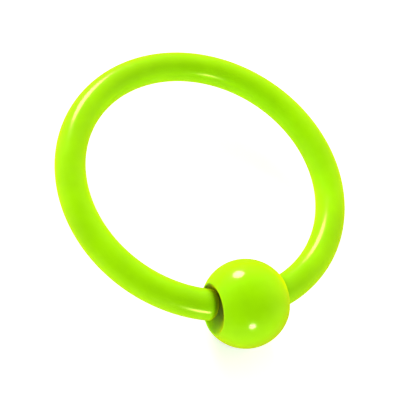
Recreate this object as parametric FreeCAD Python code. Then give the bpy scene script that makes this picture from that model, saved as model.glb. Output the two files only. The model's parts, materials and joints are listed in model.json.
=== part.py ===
import FreeCAD, Part
import math
import os

# A ball-closure leg band: an open ring of round springy rod and the separate ball that
# closes it. The rod ends sit in two opposite seats in the ball and pinch it.
#
# Frame: the ring lies in the XY plane, the leg passes through it along +Z, the origin is
# the ring's centre and the ball is at +Y. Ring angles run clockwise from the ball.
# Millimetres and degrees.

# Sizes that are set by themselves
INSIDE_DIAMETER = 20.0  # across the leg opening
ROD_DIAMETER = 2.5  # round section of the ring
BALL_DIAMETER = 7.1  # its centre is on the ring's mean circle
SEAT_DEPTH = 1.0  # of each seat, below its rim
SEAT_RIM_BREAK = 0.15  # chamfer where a seat meets the ball's surface
END_EDGE_ROUND = 0.65  # rounding of the rod end's edge
END_DOME_RADIUS = 2.2  # crown of the rod end's face
FLEX_LINE_ANGLE = 130.0  # from the ball round to where an arm bends from the back

# Clearances
SEAT_GAP = 0.05  # rod end to seat wall, where they come closest
RIM_GAP = 0.3  # inner side of the rod to the seat's rim

# Ring and ball
ROD_RADIUS = ROD_DIAMETER / 2
INSIDE_RADIUS = INSIDE_DIAMETER / 2
MEAN_RADIUS = INSIDE_RADIUS + ROD_RADIUS
BALL_RADIUS = BALL_DIAMETER / 2

# A seat's rim is a circle on the ball. It is as wide as lets the curved rod come in over
# it with RIM_GAP to spare on the side towards the leg.
RIM_TO_CENTRE = INSIDE_RADIUS - RIM_GAP
RIM_RADIUS = (BALL_RADIUS**2 + MEAN_RADIUS**2 - RIM_TO_CENTRE**2) / (2 * MEAN_RADIUS)
RIM_X = math.sqrt(BALL_RADIUS**2 - RIM_RADIUS**2)
SEAT_RADIUS = (RIM_RADIUS**2 + SEAT_DEPTH**2) / (2 * SEAT_DEPTH)
SEAT_CENTRE_X = RIM_X - SEAT_DEPTH + SEAT_RADIUS

# The rod end's rounded edge: its rounding is centred on a circle of this radius, in the
# plane where the ring's arc stops.
EDGE_CIRCLE_RADIUS = ROD_RADIUS - END_EDGE_ROUND
DOME_SETBACK = math.sqrt(
    (END_DOME_RADIUS - END_EDGE_ROUND) ** 2 - EDGE_CIRCLE_RADIUS**2
)
DOME_HALF_ANGLE = math.asin(EDGE_CIRCLE_RADIUS / (END_DOME_RADIUS - END_EDGE_ROUND))

SAME_SIZE = 1e-4  # two sizes nearer than this share are the same edge's

ORIGIN = FreeCAD.Vector(0, 0, 0)
LEG_AXIS = FreeCAD.Vector(0, 0, 1)
SEAT_AXIS = FreeCAD.Vector(1, 0, 0)


def end_angle():
    """The ring angle where the arc stops, so that the inner side of the rod end's rounded
    edge comes to SEAT_GAP from the seat wall. The three sides of a triangle give it: the
    ring's centre to the rounding's centre, the ring's centre to the seat's centre, and the
    reach that the seat leaves between those two."""
    edge_side = MEAN_RADIUS - EDGE_CIRCLE_RADIUS
    seat_side = math.hypot(SEAT_CENTRE_X, MEAN_RADIUS)
    reach = SEAT_RADIUS - END_EDGE_ROUND - SEAT_GAP
    between = math.acos(
        (edge_side**2 + seat_side**2 - reach**2) / (2 * edge_side * seat_side)
    )
    return math.degrees(math.atan2(SEAT_CENTRE_X, MEAN_RADIUS) - between)


def ring_point(angle, radius=MEAN_RADIUS):
    turn = math.radians(angle)
    return FreeCAD.Vector(radius * math.sin(turn), radius * math.cos(turn), 0)


def away_from_ball(angle):
    """The ring's direction at an angle, clockwise."""
    turn = math.radians(angle)
    return FreeCAD.Vector(math.cos(turn), -math.sin(turn), 0)


def rod(start_angle, stop_angle):
    """The round rod along the ring, from one ring angle clockwise to another."""
    circle = Part.Circle(ring_point(start_angle), away_from_ball(start_angle), ROD_RADIUS)
    section = Part.Face(Part.Wire([circle.toShape()]))
    return section.revolve(ORIGIN, LEG_AXIS.negative(), stop_angle - start_angle)


def on_arc(centre_x, centre_z, radius, angle):
    """A point in the rod end's profile plane, at an angle up from the radial direction."""
    turn = math.radians(angle)
    x = centre_x + radius * math.cos(turn)
    return FreeCAD.Vector(x, 0, centre_z + radius * math.sin(turn))


def rod_end(angle):
    """The last of the rod: a rounded edge that runs smoothly into a domed face. It is
    turned about its own axis, then set on the ring pointing at the ball."""
    edge_sweep = 90 - math.degrees(DOME_HALF_ANGLE)
    edge = [
        on_arc(EDGE_CIRCLE_RADIUS, 0, END_EDGE_ROUND, share * edge_sweep)
        for share in (0, 0.5, 1)
    ]
    dome = [
        on_arc(0, -DOME_SETBACK, END_DOME_RADIUS, across)
        for across in (edge_sweep, (edge_sweep + 90) / 2, 90)
    ]
    profile = Part.Wire(
        [
            Part.makeLine(ORIGIN, edge[0]),
            Part.Arc(*edge).toShape(),
            Part.Arc(*dome).toShape(),
            Part.makeLine(dome[2], ORIGIN),
        ]
    )
    end = Part.Face(profile).revolve(ORIGIN, LEG_AXIS, 360)
    turned = FreeCAD.Rotation(LEG_AXIS, away_from_ball(angle).negative())
    end.Placement = FreeCAD.Placement(ring_point(angle), turned)
    return end


def right_arm():
    """The ring from its flex line round to the end that the ball's +X seat takes."""
    angle = end_angle()
    return rod(angle, FLEX_LINE_ANGLE).fuse(rod_end(angle)).removeSplitter()


def left_arm():
    return right_arm().mirror(ORIGIN, SEAT_AXIS)


def ring_back():
    """The ring opposite the ball, between the two flex lines."""
    return rod(FLEX_LINE_ANGLE, 360 - FLEX_LINE_ANGLE)


def closure_ball():
    """A ball with a cup at each end of its X axis, the cups' sharp rims broken."""
    centre = FreeCAD.Vector(0, MEAN_RADIUS, 0)
    ball = Part.makeSphere(BALL_RADIUS, centre, SEAT_AXIS)
    for side in (1, -1):
        cup_centre = centre + SEAT_AXIS * (side * SEAT_CENTRE_X)
        ball = ball.cut(Part.makeSphere(SEAT_RADIUS, cup_centre, SEAT_AXIS))
    return ball.makeChamfer(SEAT_RIM_BREAK, seat_rims(ball))


def seat_rims(ball):
    """The two round edges where the cups meet the ball's surface."""
    rim_length = 2 * math.pi * RIM_RADIUS
    return [
        edge
        for edge in ball.Edges
        if math.isclose(edge.Length, rim_length, rel_tol=SAME_SIZE)
        and math.isclose(abs(edge.CenterOfMass.x), RIM_X, rel_tol=SAME_SIZE)
    ]


def main():
    os.makedirs("parts", exist_ok=True)
    nodes = {
        "ring_back": ring_back(),
        "ring_left_arm": left_arm(),
        "ring_right_arm": right_arm(),
        "closure_ball": closure_ball(),
    }
    for name, shape in nodes.items():
        shape.exportStep(f"parts/{name}.step")
        print(f"{name}: {shape.Volume:.2f} mm3, valid {shape.isValid()}")
    hinge = ring_point(FLEX_LINE_ANGLE, MEAN_RADIUS + ROD_RADIUS)
    print(f"flex line at x {hinge.x:.3f}, y {hinge.y:.3f}; rod ends at {end_angle():.2f} degrees")
    print(f"seat rim radius {RIM_RADIUS:.3f}, ball centre y {MEAN_RADIUS:.3f}")


main()
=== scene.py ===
import json
import math

import bpy
from mathutils import Matrix, Vector


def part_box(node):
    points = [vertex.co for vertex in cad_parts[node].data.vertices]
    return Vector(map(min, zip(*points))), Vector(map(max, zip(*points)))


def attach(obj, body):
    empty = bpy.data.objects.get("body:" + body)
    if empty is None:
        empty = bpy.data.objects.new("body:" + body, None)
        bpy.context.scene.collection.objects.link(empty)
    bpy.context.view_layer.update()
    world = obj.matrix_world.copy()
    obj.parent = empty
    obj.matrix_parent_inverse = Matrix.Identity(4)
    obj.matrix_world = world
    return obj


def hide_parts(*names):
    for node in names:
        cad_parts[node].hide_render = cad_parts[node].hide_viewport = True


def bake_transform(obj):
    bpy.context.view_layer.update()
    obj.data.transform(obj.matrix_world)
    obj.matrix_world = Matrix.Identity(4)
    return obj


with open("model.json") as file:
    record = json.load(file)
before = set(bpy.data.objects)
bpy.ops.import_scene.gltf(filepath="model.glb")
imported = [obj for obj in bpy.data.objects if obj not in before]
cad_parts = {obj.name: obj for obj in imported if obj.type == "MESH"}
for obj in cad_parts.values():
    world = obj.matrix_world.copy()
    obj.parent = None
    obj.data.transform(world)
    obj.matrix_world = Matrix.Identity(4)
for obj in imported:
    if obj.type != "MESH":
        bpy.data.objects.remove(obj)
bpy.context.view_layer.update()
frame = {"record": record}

MM = 0.001

# Sizes that the frame gives
opening = frame["record"]["mounts"][0]["dims"]
INSIDE_RADIUS = opening["r_mm"] * MM
ROD_RADIUS = opening["length_mm"] / 2 * MM
MEAN_RADIUS = INSIDE_RADIUS + ROD_RADIUS
ball_low, ball_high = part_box("closure_ball")
BALL_RADIUS = round((ball_high.y - ball_low.y) / 2, 5)  # its facets fall a hair short

# Sizes of the seats and the rod ends
SEAT_DEPTH = 1.0 * MM  # below the seat's rim
SEAT_RIM_ROUND = 0.2 * MM
RIM_GAP = 0.3 * MM  # inner side of the rod to the seat's rim
SEAT_GAP = 0.05 * MM  # rod end to seat wall, where they come closest
END_EDGE_ROUND = 0.65 * MM
END_DOME_RADIUS = 2.2 * MM

# How finely the round forms are divided
ROD_SIDES = 64
ROD_STEPS = 270
BACK_STEP = 0.05  # degrees: a last short step, so that the two halves' shading meets
EDGE_LOOPS = 8
DOME_LOOPS = 10
BALL_SEGMENTS = 128
BALL_LOOPS = 98
RIM_LOOPS = 8
CUP_LOOPS = 16
POLE_HOLE = 0.01 * MM  # the last small loop before a pole is closed
SMOOTH_BELOW = 40  # degrees: edges that turn more than this stay sharp

# How near two places are when they count as one
SAME_POINT = 0.0001 * MM
SAME_LOOP = 0.001 * MM
SAME_CUT = 0.00001 * MM


# --- Shared steps -----------------------------------------------------------------------


def start_clean():
    """Nothing selected, so that the next operator acts on the new piece alone."""
    bpy.ops.object.select_all(action="DESELECT")


def take(piece):
    """The piece selected, and nothing else."""
    start_clean()
    bpy.context.view_layer.objects.active = piece
    piece.select_set(True)


def edit(piece):
    take(piece)
    bpy.ops.object.mode_set(mode="EDIT")
    bpy.ops.mesh.select_mode(type="VERT")


def done_editing():
    bpy.ops.object.mode_set(mode="OBJECT")


def settle(piece):
    """The piece's place goes into its mesh."""
    take(piece)
    bpy.ops.object.transform_apply(location=True, rotation=True, scale=True)


def close_up(piece):
    """Seams merged, faces outward, smooth but for real edges."""
    edit(piece)
    bpy.ops.mesh.select_all(action="SELECT")
    bpy.ops.mesh.remove_doubles(threshold=SAME_POINT)
    bpy.ops.mesh.normals_make_consistent(inside=False)
    done_editing()
    take(piece)
    bpy.ops.object.shade_smooth_by_angle(angle=math.radians(SMOOTH_BELOW))


def pull_loops(loops, axis_y):
    """Carries the selected open loop on through the given (x, radius) places, one extrusion
    and one scaling each, then closes the last of them to a pole."""
    for (x_from, radius_from), (x_to, radius_to) in zip(loops, loops[1:]):
        bpy.ops.mesh.extrude_region_move(
            TRANSFORM_OT_translate={"value": (x_to - x_from, 0, 0)}
        )
        narrower = radius_to / radius_from
        bpy.ops.transform.resize(
            value=(1, narrower, narrower), center_override=(x_to, axis_y, 0)
        )
    bpy.ops.mesh.merge(type="CENTER")


def arc_loops(centre_x, centre_radius, radius, start, stop, count):
    """(x, radius) places along a round profile, from one angle to another. The first is
    left out."""
    places = []
    for step in range(1, count + 1):
        turn = start + (stop - start) * step / count
        places.append(
            (
                centre_x + radius * math.cos(turn),
                max(centre_radius + radius * math.sin(turn), POLE_HOLE),
            )
        )
    return places


# --- The seats, and where the rod ends stop in them -------------------------------------

RIM_TO_CENTRE = INSIDE_RADIUS - RIM_GAP
RIM_RADIUS = (BALL_RADIUS**2 + MEAN_RADIUS**2 - RIM_TO_CENTRE**2) / (2 * MEAN_RADIUS)
RIM_X = math.sqrt(BALL_RADIUS**2 - RIM_RADIUS**2)
SEAT_RADIUS = (RIM_RADIUS**2 + SEAT_DEPTH**2) / (2 * SEAT_DEPTH)
SEAT_CENTRE_X = RIM_X - SEAT_DEPTH + SEAT_RADIUS
EDGE_CIRCLE_RADIUS = ROD_RADIUS - END_EDGE_ROUND


def end_turn():
    """How far round from the ball the rod's arc stops, so that its end nearly touches the
    seat wall."""
    edge_side = MEAN_RADIUS - EDGE_CIRCLE_RADIUS
    seat_side = math.hypot(SEAT_CENTRE_X, MEAN_RADIUS)
    reach = SEAT_RADIUS - END_EDGE_ROUND - SEAT_GAP
    between = math.acos(
        (edge_side**2 + seat_side**2 - reach**2) / (2 * edge_side * seat_side)
    )
    return math.atan2(SEAT_CENTRE_X, MEAN_RADIUS) - between


# --- The ring ---------------------------------------------------------------------------


def round_off_rod_end():
    """From the selected loop at x 0, out to a rounded edge and a domed face."""
    dome_half = math.asin(EDGE_CIRCLE_RADIUS / (END_DOME_RADIUS - END_EDGE_ROUND))
    dome_setback = (END_DOME_RADIUS - END_EDGE_ROUND) * math.cos(dome_half)
    outward = math.pi  # the end points along -X
    edge = arc_loops(
        0,
        EDGE_CIRCLE_RADIUS,
        END_EDGE_ROUND,
        math.pi / 2,
        outward - dome_half,
        EDGE_LOOPS,
    )
    dome = arc_loops(
        dome_setback, 0, END_DOME_RADIUS, outward - dome_half, outward, DOME_LOOPS
    )
    pull_loops([(0, ROD_RADIUS), *edge, *dome], MEAN_RADIUS)


def ring_right_half():
    """Half of the ring: its end is rounded off at the top of the ring, the rod is spun from
    there round to the back, and the whole is then turned into place."""
    start_clean()
    bpy.ops.mesh.primitive_circle_add(
        vertices=ROD_SIDES,
        radius=ROD_RADIUS,
        location=(0, MEAN_RADIUS, 0),
        rotation=(0, math.radians(90), 0),
    )
    half = bpy.context.active_object
    half.name = "ring_right_half"
    settle(half)

    edit(half)
    bpy.ops.mesh.select_all(action="SELECT")
    round_off_rod_end()

    select_places(half, lambda place: abs(place.x) < SAME_LOOP)
    sweep = math.pi - end_turn()
    short = math.radians(BACK_STEP)
    for turn, steps in ((sweep - short, ROD_STEPS), (short, 1)):
        bpy.ops.mesh.spin(steps=steps, angle=turn, center=(0, 0, 0), axis=(0, 0, 1))
    bpy.ops.mesh.edge_face_add()
    done_editing()

    half.rotation_euler.z = -end_turn()  # the end was made at the very top
    settle(half)
    close_up(half)
    return half


def select_places(piece, wanted):
    """In edit mode, selects the vertices whose place is wanted, and nothing else."""
    bpy.ops.mesh.select_all(action="DESELECT")
    bpy.ops.object.mode_set(mode="OBJECT")
    for vertex in piece.data.vertices:
        vertex.select = wanted(vertex.co)
    bpy.ops.object.mode_set(mode="EDIT")
    bpy.ops.mesh.select_mode(type="VERT")


def mirrored(piece, name):
    """The piece's twin on the other side of the middle."""
    take(piece)
    bpy.ops.object.duplicate()
    twin = bpy.context.active_object
    twin.name = name
    twin.scale.x = -1
    settle(twin)
    close_up(twin)
    return twin


def mark_straight_rod(half):
    """Writes each point's place on the rod as if it were still straight: across it, through
    it and along it from the back. The rod's draw lines follow this."""
    marks = half.data.attributes.new("straight_rod", "FLOAT_VECTOR", "POINT")
    for vertex, mark in zip(half.data.vertices, marks.data):
        x, y, z = vertex.co
        from_back = math.atan2(x, -y)
        mark.vector = (math.hypot(x, y) - MEAN_RADIUS, z, from_back * MEAN_RADIUS)


def flex_with(half, arm):
    """The half's place goes into its mesh, and the CAD's ring back and this arm, which the
    half stands in for, are hidden."""
    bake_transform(half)
    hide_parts("ring_back", f"ring_{arm}")


# --- The ball ---------------------------------------------------------------------------


def seat_profile():
    """(x, radius) places from the ball's surface, round the rim and into the cup."""
    inner = BALL_RADIUS - SEAT_RIM_ROUND
    outer = SEAT_RADIUS + SEAT_RIM_ROUND
    rim_x = (SEAT_CENTRE_X**2 + inner**2 - outer**2) / (2 * SEAT_CENTRE_X)
    rim_radius = math.sqrt(inner**2 - rim_x**2)
    leaves_ball = math.atan2(rim_radius, rim_x)
    meets_cup = math.atan2(rim_radius, rim_x - SEAT_CENTRE_X)
    start = (BALL_RADIUS * math.cos(leaves_ball), BALL_RADIUS * math.sin(leaves_ball))
    rim = arc_loops(
        rim_x,
        rim_radius,
        SEAT_RIM_ROUND,
        leaves_ball,
        meets_cup - math.pi,
        RIM_LOOPS,
    )
    cup = arc_loops(
        SEAT_CENTRE_X, 0, SEAT_RADIUS, meets_cup, math.pi, CUP_LOOPS
    )
    return [start, *rim, *cup]


def lime_ball():
    """A ball whose two ends are cut off flat, rounded over and cupped for the rod ends."""
    start_clean()
    bpy.ops.mesh.primitive_uv_sphere_add(
        segments=BALL_SEGMENTS,
        ring_count=BALL_LOOPS,
        radius=BALL_RADIUS,
        location=(0, MEAN_RADIUS, 0),
        rotation=(0, math.radians(90), 0),
    )
    ball = bpy.context.active_object
    ball.name = "lime_ball"
    settle(ball)
    profile = seat_profile()
    cut_x = profile[0][0]
    edit(ball)
    for side in (1, -1):
        bpy.ops.mesh.select_all(action="SELECT")
        bpy.ops.mesh.bisect(
            plane_co=(side * cut_x, MEAN_RADIUS, 0),
            plane_no=(side, 0, 0),
            clear_outer=True,
            threshold=SAME_CUT,
        )
        bpy.ops.mesh.select_all(action="DESELECT")
        bpy.ops.mesh.select_non_manifold()  # the cut's open edge, the only one there is
        pull_loops([(side * x, radius) for x, radius in profile], MEAN_RADIUS)
    done_editing()
    close_up(ball)
    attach(ball, "ball")
    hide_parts("closure_ball")
    return ball


# --- Lime plastic -----------------------------------------------------------------------

LIME = (0.40, 0.96, 0.0, 1)
DEEP_LIME = (0.34, 0.84, 0.0, 1)
# painted shade: the dark colour laid into crevices, such as the ball's cups round the rod
# ends
PAINTED_CREVICE_SHADE = (0.05, 0.15, 0.0, 1)
RIM_GLOW = (1.0, 1.0, 0.0, 1)
GLOSS_TINT = (1.0, 1.0, 0.2, 1)

# How many lumps or lines of each pattern go in a metre
CLOUDS = 260
SMUDGES = 900
PEEL_LUMPS = 1500
DRAW_LINES = 1800

# Where the clouds and the smudges start to show and where they are full
CLOUD_EDGES = (0.35, 0.65)
SMUDGE_EDGES = (0.4, 0.7)

# Painted shade in crevices: the colour is as dark as it gets at the first share of open
# space round a place, and no darker than the rest at the second
CREVICE_SHADE_EDGES = (0.45, 0.85)
CREVICE_SHADE_REACH = 1.3 * MM
CREVICE_SHADE_SAMPLES = 8

RELIEF_HEIGHT = 0.006 * MM
PEEL_SHARE = 0.4  # of the relief's height
LINE_STRETCH = 0.03  # a draw line's scale along the rod, to its scale across

# Roughness where the polish is best and where it is worst
ROD_POLISH = (0.18, 0.26)
BALL_POLISH = (0.15, 0.24)

ACRYLIC_IOR = 1.49
ROD_GLOSS = 1.0
BALL_GLOSS = 0.5
BALL_LACQUER = 0.55
LACQUER_ROUGHNESS = 0.1
GLOW_ROUGHNESS = 0.5


def add_node(tree, kind, inputs=(), **settings):
    """A new node. Each input takes a plain value or another node's output."""
    node = tree.nodes.new(kind)
    for name, value in settings.items():
        setattr(node, name, value)
    for socket, value in dict(inputs).items():
        if hasattr(value, "is_output"):
            tree.links.new(value, node.inputs[socket])
        else:
            node.inputs[socket].default_value = value
    return node


def noise(tree, place, scale, detail=2.0, roughness=0.5):
    made = add_node(
        tree,
        "ShaderNodeTexNoise",
        {"Vector": place, "Scale": scale, "Detail": detail, "Roughness": roughness},
    )
    return made.outputs["Fac"]


def ranged(tree, value, low, high, to_low, to_high):
    made = add_node(
        tree,
        "ShaderNodeMapRange",
        {
            "Value": value,
            "From Min": low,
            "From Max": high,
            "To Min": to_low,
            "To Max": to_high,
        },
    )
    return made.outputs["Result"]


def combined(tree, first, second, operation="ADD"):
    made = add_node(tree, "ShaderNodeMath", {0: first, 1: second}, operation=operation)
    return made.outputs["Value"]


def mixed(tree, share, first, second):
    """The first colour, turning into the second as share goes from 0 to 1."""
    made = add_node(
        tree,
        "ShaderNodeMix",
        {"Factor": share, "A": first, "B": second},
        data_type="RGBA",
    )
    return made.outputs["Result"]


def lime_plastic(name, height_of, polish, gloss, lacquer):
    """Fluorescent plastic: a little cloudy in colour, with painted shade darkening it in
    its crevices, unevenly polished between the two roughnesses of polish, with the fine
    relief that height_of gives it. The gloss is the plastic's own, and the lacquer a clear
    one over it. The sheen is the light that such plastic carries to its edges."""
    material = bpy.data.materials.new(name)
    material.use_nodes = True
    tree = material.node_tree
    shader = tree.nodes["Principled BSDF"]
    place = add_node(tree, "ShaderNodeTexCoord").outputs["Object"]

    cloudiness = noise(tree, place, CLOUDS, detail=3)
    clouds = ranged(tree, cloudiness, *CLOUD_EDGES, 0.0, 1.0)
    # painted shade: where ambient occlusion finds little open space round a place, the
    # colour is darkened
    openness = add_node(
        tree,
        "ShaderNodeAmbientOcclusion",
        {"Distance": CREVICE_SHADE_REACH},
        samples=CREVICE_SHADE_SAMPLES,
    ).outputs["AO"]
    unshaded_share = ranged(tree, openness, *CREVICE_SHADE_EDGES, 0.0, 1.0)
    colour = mixed(tree, unshaded_share, PAINTED_CREVICE_SHADE, mixed(tree, clouds, LIME, DEEP_LIME))
    tree.links.new(colour, shader.inputs["Base Color"])

    smudges = noise(tree, place, SMUDGES, detail=4, roughness=0.6)
    tree.links.new(
        ranged(tree, smudges, *SMUDGE_EDGES, *polish), shader.inputs["Roughness"]
    )
    bump = add_node(
        tree,
        "ShaderNodeBump",
        {"Strength": 1.0, "Distance": RELIEF_HEIGHT, "Height": height_of(tree, place)},
    )
    tree.links.new(bump.outputs["Normal"], shader.inputs["Normal"])
    shader.inputs["IOR"].default_value = ACRYLIC_IOR
    shader.inputs["Specular IOR Level"].default_value = gloss
    shader.inputs["Coat Weight"].default_value = lacquer
    shader.inputs["Coat Roughness"].default_value = LACQUER_ROUGHNESS
    shader.inputs["Specular Tint"].default_value = GLOSS_TINT
    shader.inputs["Sheen Weight"].default_value = 1.0
    shader.inputs["Sheen Roughness"].default_value = GLOW_ROUGHNESS
    shader.inputs["Sheen Tint"].default_value = RIM_GLOW
    return material


def rod_relief(tree, place):
    """Draw lines along the rod, on a faint orange peel."""
    straight = add_node(tree, "ShaderNodeAttribute", attribute_name="straight_rod")
    drawn_out = add_node(
        tree,
        "ShaderNodeMapping",
        {"Vector": straight.outputs["Vector"], "Scale": (1, 1, LINE_STRETCH)},
    )
    lines = noise(tree, drawn_out.outputs["Vector"], DRAW_LINES, detail=1)
    return combined(tree, lines, peel(tree, place))


def peel(tree, place):
    """The shallow lumps of orange peel."""
    return combined(tree, noise(tree, place, PEEL_LUMPS), PEEL_SHARE, "MULTIPLY")


# --- Floor, light and camera ------------------------------------------------------------

FLOOR_RADIUS = 2.0
FLOOR_SIDES = 96
FLOOR_WHITE = (0.93, 0.93, 0.93, 1)
FLOOR_ROUGHNESS = 0.7
FLOOR_GLOW = 0.5

# Each soft light's direction, how many degrees across it looks, and its brightness
SOFT_LIGHTS = {
    "high_light": ((0.113, -0.895, 0.430), 22, 15),
    "low_light": ((0.092, 0.988, 0.140), 14, 16),
}
LIGHT_DISTANCE = 0.4

VIEW_FROM = Vector((0.4075, 0.4068, 0.8176)).normalized()
VIEW_UP = Vector((-0.114, -0.866, 0.488))
VIEW_LENS = 109.4
SENSOR_WIDTH = 36
CAMERA_DISTANCE = 0.1004
AIM = Vector((0.48, 1.32, -0.89)) * MM  # the middle of what shows, seen from there
NEAREST_SEEN = 0.001
FURTHEST_SEEN = 10

# The tent's brightness, by how far a direction turns towards the viewer: 1 is straight
# towards, -1 straight away
TENT_BAND = 0.05
TENT_BAND_BRIGHTNESS = 1.9
TENT_FRONT = 0.8
TENT_FRONT_BRIGHTNESS = 0.34
TENT_BACK = -0.9
TENT_BACK_BRIGHTNESS = 0.6
BRIGHT_SIDE = Vector((0.906, -0.292, -0.306))
SIDE_SHARES = (0.7, 1.3)  # of the brightness, on the far side and on the bright side
MIRRORED_SHARE = 0.05  # of the tent that the gloss mirrors


def floor():
    """A plain pale floor that the ball rests on. It doesn't show in the gloss."""
    start_clean()
    bpy.ops.mesh.primitive_circle_add(
        vertices=FLOOR_SIDES,
        radius=FLOOR_RADIUS,
        fill_type="NGON",
        location=(0, 0, ball_low.z),
    )
    plate = bpy.context.active_object
    plate.name = "floor"
    settle(plate)
    material = bpy.data.materials.new("white_sweep")
    material.use_nodes = True
    shader = material.node_tree.nodes["Principled BSDF"]
    shader.inputs["Base Color"].default_value = FLOOR_WHITE
    shader.inputs["Roughness"].default_value = FLOOR_ROUGHNESS
    shader.inputs["Emission Color"].default_value = (1, 1, 1, 1)
    shader.inputs["Emission Strength"].default_value = FLOOR_GLOW
    plate.data.materials.append(material)
    plate.visible_glossy = False


def softbox(name, direction, across_degrees, brightness):
    """A round soft light that looks across_degrees wide from the ring."""
    size = 2 * LIGHT_DISTANCE * math.tan(math.radians(across_degrees / 2))
    area = math.pi * size**2 / 4
    lamp = bpy.data.lights.new(name, "AREA")
    lamp.shape = "DISK"
    lamp.size = size
    lamp.energy = brightness * math.pi * area
    box = bpy.data.objects.new(name, lamp)
    bpy.context.scene.collection.objects.link(box)
    outward = Vector(direction).normalized()
    box.location = outward * LIGHT_DISTANCE
    box.rotation_mode = "QUATERNION"
    box.rotation_quaternion = outward.to_track_quat("Z", "Y")


def pointing(tree, direction, way):
    """How far a direction points one way: from 1, straight that way, to -1."""
    made = add_node(
        tree, "ShaderNodeVectorMath", {0: direction, 1: way}, operation="DOT_PRODUCT"
    )
    return made.outputs["Value"]


def tent():
    """A white light tent: brightest in a band square to the view, dimmer in front and
    behind, and brighter on one side. The gloss mirrors little of it, so that the soft
    lights stand out, and it looks white itself."""
    world = bpy.data.worlds.new("light_tent")
    bpy.context.scene.world = world
    world.use_nodes = True
    tree = world.node_tree
    background = tree.nodes["Background"]
    background.inputs["Color"].default_value = (1, 1, 1, 1)
    direction = add_node(tree, "ShaderNodeTexCoord").outputs["Generated"]

    facing = pointing(tree, direction, VIEW_FROM)
    front = ranged(
        tree, facing, TENT_BAND, TENT_FRONT, TENT_BAND_BRIGHTNESS, TENT_FRONT_BRIGHTNESS
    )
    back = ranged(
        tree, facing, TENT_BACK, TENT_BAND, TENT_BACK_BRIGHTNESS, TENT_BAND_BRIGHTNESS
    )
    band = combined(tree, front, back, "MINIMUM")
    sideways = ranged(tree, pointing(tree, direction, BRIGHT_SIDE), -1, 1, *SIDE_SHARES)
    white = combined(tree, band, sideways, "MULTIPLY")

    path = add_node(tree, "ShaderNodeLightPath").outputs
    share = ranged(tree, path["Is Glossy Ray"], 0, 1, 1.0, MIRRORED_SHARE)
    strength = combined(tree, white, share, "MULTIPLY")
    seen = combined(tree, strength, path["Is Camera Ray"], "MAXIMUM")
    tree.links.new(seen, background.inputs["Strength"])


def camera():
    data = bpy.data.cameras.new("camera")
    data.lens = VIEW_LENS
    data.sensor_width = SENSOR_WIDTH
    data.clip_start = NEAREST_SEEN
    data.clip_end = FURTHEST_SEEN
    eye = bpy.data.objects.new("camera", data)
    bpy.context.scene.collection.objects.link(eye)
    eye.location = VIEW_FROM * CAMERA_DISTANCE
    back = (eye.location - AIM).normalized()
    right = VIEW_UP.cross(back).normalized()
    up = back.cross(right)
    turned = Matrix((right, up, back)).transposed()
    eye.rotation_mode = "QUATERNION"
    eye.rotation_quaternion = turned.to_quaternion()
    bpy.context.scene.camera = eye


# --- Making it --------------------------------------------------------------------------

right_half = ring_right_half()
left_half = mirrored(right_half, "ring_left_half")
rod_plastic = lime_plastic(
    "lime_rod_plastic", rod_relief, polish=ROD_POLISH, gloss=ROD_GLOSS, lacquer=0.0
)
for half, arm in ((right_half, "right_arm"), (left_half, "left_arm")):
    mark_straight_rod(half)
    half.data.materials.append(rod_plastic)
    flex_with(half, arm)

ball = lime_ball()
ball_plastic = lime_plastic(
    "lime_ball_plastic", peel, polish=BALL_POLISH, gloss=BALL_GLOSS, lacquer=BALL_LACQUER
)
ball.data.materials.append(ball_plastic)

floor()
for name, light in SOFT_LIGHTS.items():
    softbox(name, *light)
tent()
camera()
bpy.context.scene.view_settings.view_transform = "Standard"
